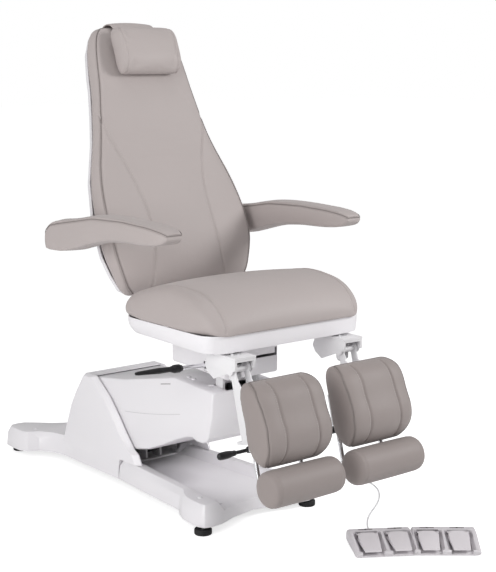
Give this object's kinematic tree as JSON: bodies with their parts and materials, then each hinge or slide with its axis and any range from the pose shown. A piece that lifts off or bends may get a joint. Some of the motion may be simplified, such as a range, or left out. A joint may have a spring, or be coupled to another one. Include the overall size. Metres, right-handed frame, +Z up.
{
  "type": "podiatry chair",
  "caption": "Treatment chair for foot care on a lifting arm, with swivelling seat, reclining back, armrests, two separate leg rests with foot rolls, and a corded foot control.",
  "frame": {"origin": "on the floor, midway between the four levelling feet of the base", "axes": "+Z up; -Y the way the sitter faces; +X the sitter's left"},
  "size_m": [0.8363, 1.6674, 1.4188],
  "materials": {
    "rubber": "matte moulded rubber",
    "steel": "bright zinc plated steel",
    "frame_paint": "light powder coat",
    "white_shell": "satin white moulding",
    "white_metal": "white powder coat",
    "chrome": "polished chrome",
    "black_plastic": "black moulded grip and housing",
    "upholstery": "taupe leatherette over foam",
    "leg_upholstery": "darker taupe leatherette over foam",
    "control_grey": "pale grey moulding",
    "pedal_grey": "mid grey moulding",
    "cord_white": "white flexible cord"
  },
  "bodies": {
    "root": {"base_frame": "frame_paint", "base_cover_rear": "white_shell", "base_cover_front": "white_shell", "levelling_feet": "rubber", "foot_stems": "steel", "tower_bracket": "frame_paint", "control_box": "black_plastic", "mains_inlet": "black_plastic", "cable_gland": "black_plastic", "foot_control_cord": "cord_white", "foot_control_base": "control_grey", "foot_control_feet": "rubber", "pedal_pins": "steel"},
    "pedal_1": {"pedal_1": "pedal_grey"},
    "pedal_2": {"pedal_2": "pedal_grey"},
    "pedal_3": {"pedal_3": "pedal_grey"},
    "pedal_4": {"pedal_4": "pedal_grey"},
    "lift_arm": {"lift_arm_frame": "frame_paint", "lift_arm_cover": "white_shell"},
    "lower_link": {"lower_link": "frame_paint"},
    "lift_actuator": {"lift_actuator": "black_plastic"},
    "lift_rod": {"lift_actuator_rod": "steel"},
    "carriage": {"carriage_frame": "frame_paint", "carriage_cover": "white_shell", "swivel_bearing": "steel"},
    "swivel_lever": {"swivel_lever": "chrome", "swivel_lever_grip": "black_plastic"},
    "seat": {"seat_frame": "frame_paint", "seat_pan": "white_shell", "seat_cushion": "upholstery", "back_actuator": "black_plastic", "leg_swivel_bolts": "steel", "back_hinge_pin": "steel"},
    "back_rod": {"back_actuator_rod": "steel"},
    "back": {"back_frame": "frame_paint", "back_shell": "white_shell", "back_cushion": "upholstery", "headrest_strap": "upholstery"},
    "headrest": {"headrest_pillow": "upholstery"},
    "counterweight": {"headrest_counterweight": "upholstery"},
    "armrest_left": {"armrest_left": "upholstery", "armrest_bracket_left": "white_metal"},
    "leg_swivel_left": {"knee_bracket_left": "white_metal"},
    "leg_left": {"leg_frame_left": "white_metal", "calf_cushion_left": "leg_upholstery", "gas_spring_left": "black_plastic"},
    "gas_rod_left": {"gas_spring_rod_left": "steel"},
    "release_left": {"release_lever_left": "black_plastic"},
    "roll_left": {"roll_rods_left": "chrome", "foot_roll_left": "leg_upholstery"},
    "armrest_right": {"armrest_right": "upholstery", "armrest_bracket_right": "white_metal"},
    "leg_swivel_right": {"knee_bracket_right": "white_metal"},
    "leg_right": {"leg_frame_right": "white_metal", "calf_cushion_right": "leg_upholstery", "gas_spring_right": "black_plastic"},
    "gas_rod_right": {"gas_spring_rod_right": "steel"},
    "release_right": {"release_lever_right": "black_plastic"},
    "roll_right": {"roll_rods_right": "chrome", "foot_roll_right": "leg_upholstery"}
  },
  "joints": [
    {"name": "lift", "type": "hinge", "parent": "root", "child": "lift_arm", "pos_m": [0, 0.1, 0.262], "axis": [-1, 0, 0], "range_deg": [-2, 26]},
    {"name": "lower_link", "type": "hinge", "parent": "root", "child": "lower_link", "pos_m": [0, 0.125, 0.202], "axis": [-1, 0, 0], "range_deg": [-2, 26]},
    {"name": "carriage", "type": "hinge", "parent": "lift_arm", "child": "carriage", "pos_m": [0, -0.4265, 0.345], "axis": [-1, 0, 0], "range_deg": [-26, 2]},
    {"name": "lift_actuator", "type": "hinge", "parent": "root", "child": "lift_actuator", "pos_m": [0, 0.0215, 0.095], "axis": [-1, 0, 0], "range_deg": [-2, 20.5]},
    {"name": "lift_rod", "type": "slide", "parent": "lift_actuator", "child": "lift_rod", "axis": [0, -0.7291, 0.6844], "range_m": [-0.008, 0.076]},
    {"name": "seat_swivel", "type": "hinge", "parent": "carriage", "child": "seat", "pos_m": [0, -0.366, 0.512], "axis": [0, 0, 1], "range_deg": [-90, 90]},
    {"name": "swivel_lever", "type": "hinge", "parent": "carriage", "child": "swivel_lever", "pos_m": [-0.078, -0.4055, 0.447], "axis": [0, -1, 0], "range_deg": [0, 10], "stiffness_Nm_per_rad": 12, "springref_deg": -5.73},
    {"name": "recline", "type": "hinge", "parent": "seat", "child": "back", "pos_m": [0, -0.186, 0.61], "axis": [-1, 0, 0], "range_deg": [0, 60]},
    {"name": "back_rod", "type": "slide", "parent": "seat", "child": "back_rod", "axis": [0, -1, 0], "range_m": [0, 0.056]},
    {"name": "headrest", "type": "slide", "parent": "back", "child": "headrest", "axis": [0, 0.3681, 0.9298], "range_m": [-0.06, 0.015]},
    {"name": "counterweight", "type": "slide", "parent": "back", "child": "counterweight", "axis": [0, 0.3681, 0.9298], "range_m": [-0.015, 0.06]},
    {"name": "armrest_left", "type": "hinge", "parent": "back", "child": "armrest_left", "pos_m": [0.318, -0.07683, 0.80017], "axis": [-1, 0, 0], "range_deg": [0, 90]},
    {"name": "armrest_right", "type": "hinge", "parent": "back", "child": "armrest_right", "pos_m": [-0.318, -0.07683, 0.80017], "axis": [-1, 0, 0], "range_deg": [0, 90]},
    {"name": "leg_swivel_left", "type": "hinge", "parent": "seat", "child": "leg_swivel_left", "pos_m": [0.192, -0.655, 0.528], "axis": [0, 0, 1], "range_deg": [0, 25]},
    {"name": "knee_left", "type": "hinge", "parent": "leg_swivel_left", "child": "leg_left", "pos_m": [0.192, -0.67834, 0.50179], "axis": [-1, 0, 0], "range_deg": [0, 75]},
    {"name": "gas_rod_left", "type": "slide", "parent": "leg_left", "child": "gas_rod_left", "axis": [0, 0.2588, 0.9659], "range_m": [0, 0.037]},
    {"name": "release_left", "type": "hinge", "parent": "leg_left", "child": "release_left", "pos_m": [0.192, -0.71923, 0.2912], "axis": [0, 0.9659, -0.2588], "range_deg": [0, 12], "stiffness_Nm_per_rad": 3, "springref_deg": -5.73},
    {"name": "foot_roll_left", "type": "slide", "parent": "leg_left", "child": "roll_left", "axis": [0, -0.2588, -0.9659], "range_m": [0, 0.08]},
    {"name": "leg_swivel_right", "type": "hinge", "parent": "seat", "child": "leg_swivel_right", "pos_m": [-0.192, -0.655, 0.528], "axis": [0, 0, -1], "range_deg": [0, 25]},
    {"name": "knee_right", "type": "hinge", "parent": "leg_swivel_right", "child": "leg_right", "pos_m": [-0.192, -0.67834, 0.50179], "axis": [-1, 0, 0], "range_deg": [0, 75]},
    {"name": "gas_rod_right", "type": "slide", "parent": "leg_right", "child": "gas_rod_right", "axis": [0, 0.2588, 0.9659], "range_m": [0, 0.037]},
    {"name": "release_right", "type": "hinge", "parent": "leg_right", "child": "release_right", "pos_m": [-0.192, -0.71923, 0.2912], "axis": [0, 0.9659, -0.2588], "range_deg": [0, 12], "stiffness_Nm_per_rad": 3, "springref_deg": -5.73},
    {"name": "foot_roll_right", "type": "slide", "parent": "leg_right", "child": "roll_right", "axis": [0, -0.2588, -0.9659], "range_m": [0, 0.08]},
    {"name": "pedal_1", "type": "hinge", "parent": "root", "child": "pedal_1", "pos_m": [0.09768, -0.86743, 0.02916], "axis": [0.848, -0.5299, 0], "range_deg": [0, 6], "stiffness_Nm_per_rad": 4, "springref_deg": -5.73},
    {"name": "pedal_2", "type": "hinge", "parent": "root", "child": "pedal_2", "pos_m": [0.16722, -0.91088, 0.02916], "axis": [0.848, -0.5299, 0], "range_deg": [0, 6], "stiffness_Nm_per_rad": 4, "springref_deg": -5.73},
    {"name": "pedal_3", "type": "hinge", "parent": "root", "child": "pedal_3", "pos_m": [0.23646, -0.96045, 0.02916], "axis": [0.7749, -0.632, 0], "range_deg": [0, 6], "stiffness_Nm_per_rad": 4, "springref_deg": -5.73},
    {"name": "pedal_4", "type": "hinge", "parent": "root", "child": "pedal_4", "pos_m": [0.3, -1.01228, 0.02916], "axis": [0.7749, -0.632, 0], "range_deg": [0, 6], "stiffness_Nm_per_rad": 4, "springref_deg": -5.73}
  ],
  "couplings": [
    {"joint": "lower_link", "follows": "lift", "ratio": 1},
    {"joint": "carriage", "follows": "lift", "ratio": -1},
    {"joint": "lift_actuator", "follows": "lift", "ratio": 0.75693},
    {"joint": "lift_rod", "follows": "lift", "m_per_rad": 0.16201},
    {"joint": "back_rod", "follows": "recline", "m_per_rad": 0.05252},
    {"joint": "counterweight", "follows": "headrest", "ratio": -1},
    {"joint": "gas_rod_left", "follows": "knee_left", "m_per_rad": 0.0275},
    {"joint": "gas_rod_right", "follows": "knee_right", "m_per_rad": 0.0275}
  ]
}
